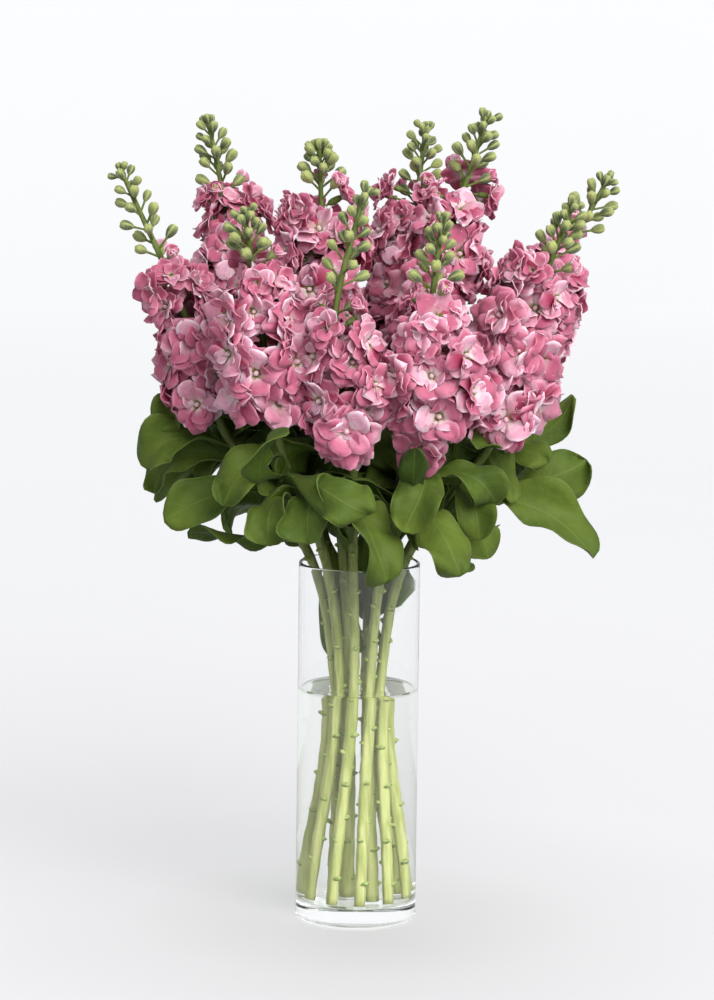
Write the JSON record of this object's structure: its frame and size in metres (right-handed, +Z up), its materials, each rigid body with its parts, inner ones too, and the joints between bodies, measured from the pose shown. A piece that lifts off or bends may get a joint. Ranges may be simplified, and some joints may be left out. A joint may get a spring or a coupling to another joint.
{
  "type": "stock flower in vase",
  "caption": "Bunch of pink double stock stems with green leaves and buds, standing in a clear glass cylinder vase part filled with water.",
  "frame": {"origin": "centre of the vase's underside", "axes": "+Z up along the vase's axis, -Y towards the viewer, +X to the viewer's right"},
  "size_m": [0.4215, 0.2975, 0.6766],
  "materials": {
    "glass": "clear polished",
    "water": "clear water with a faint green tint",
    "leaf": "matte grey-green leaf and stem",
    "petal": "soft matte petal, paler towards its base"
  },
  "bodies": {
    "root": {"vase": "glass", "water": "water", "stem_a": "leaf", "stem_b": "leaf", "stem_c": "leaf", "stem_d": "leaf", "stem_e": "leaf", "stem_f": "leaf", "stem_g": "leaf", "stem_h": "leaf", "stem_i": "leaf", "stem_j": "leaf", "blooms_a": "petal", "blooms_b": "petal", "blooms_c": "petal", "blooms_d": "petal", "blooms_e": "petal", "blooms_f": "petal", "blooms_g": "petal", "blooms_h": "petal", "blooms_i": "petal", "blooms_j": "petal"}
  },
  "joints": []
}
